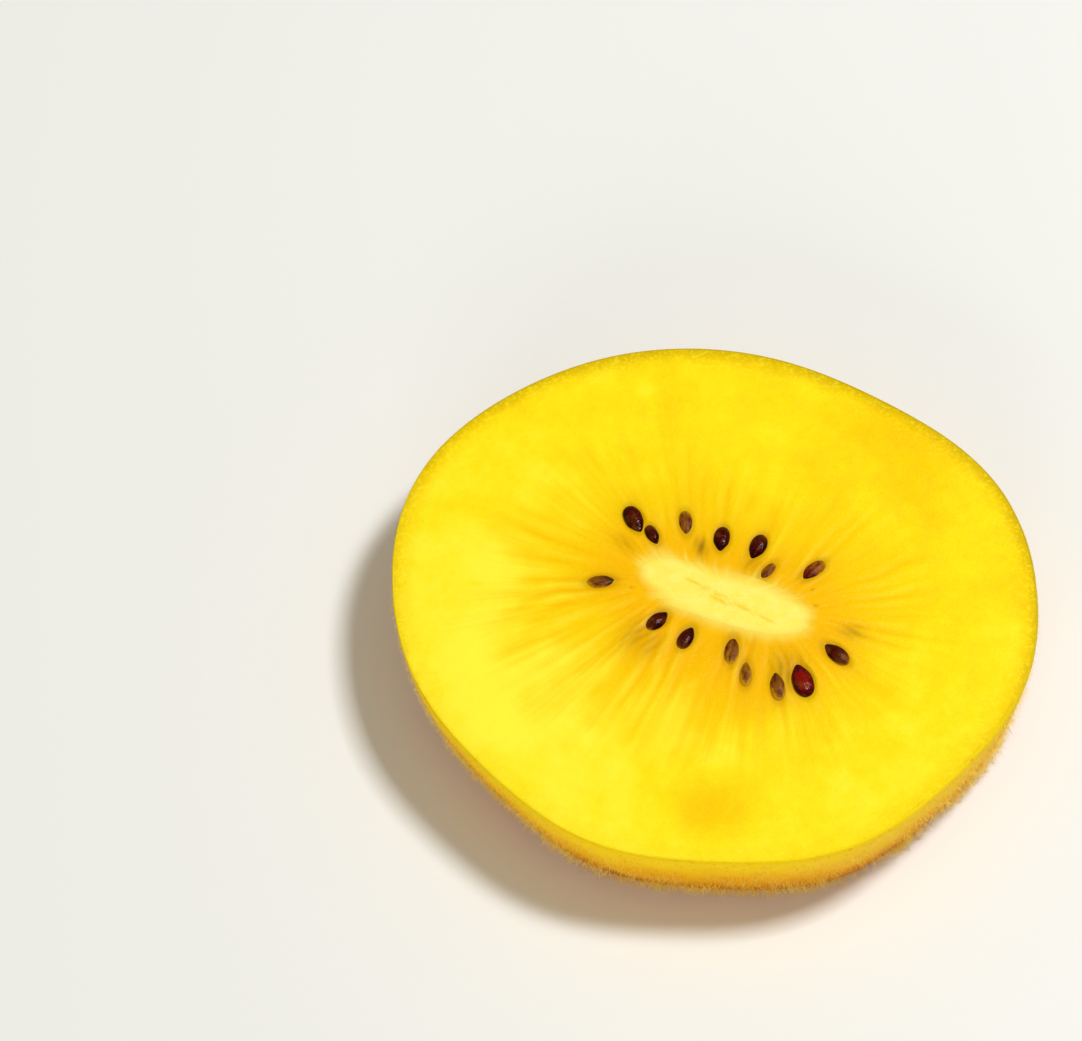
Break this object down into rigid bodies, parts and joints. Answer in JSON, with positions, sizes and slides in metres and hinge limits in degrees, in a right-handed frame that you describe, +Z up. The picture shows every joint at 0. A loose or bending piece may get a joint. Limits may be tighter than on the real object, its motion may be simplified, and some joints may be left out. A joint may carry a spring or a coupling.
{
  "type": "golden kiwi fruit slice",
  "caption": "Round slice cut across a golden kiwi fruit: thin furry skin, yellow flesh with dark seeds round a pale core.",
  "frame": {"origin": "middle of the slice's footprint, on the surface that it lies on", "axes": "+X along the core and the slice's greatest width, +Z up, out of the larger cut face"},
  "size_m": [0.0506, 0.046, 0.009],
  "materials": {
    "skin": "matt thin golden-brown fruit skin",
    "flesh": "wet translucent yellow fruit flesh",
    "core": "moist pale cream fruit core",
    "seed": "glossy dark red-brown seed coat",
    "hair": "fine golden-tan hair"
  },
  "bodies": {
    "root": {"skin": "skin", "flesh": "flesh", "core": "core"}
  },
  "joints": []
}
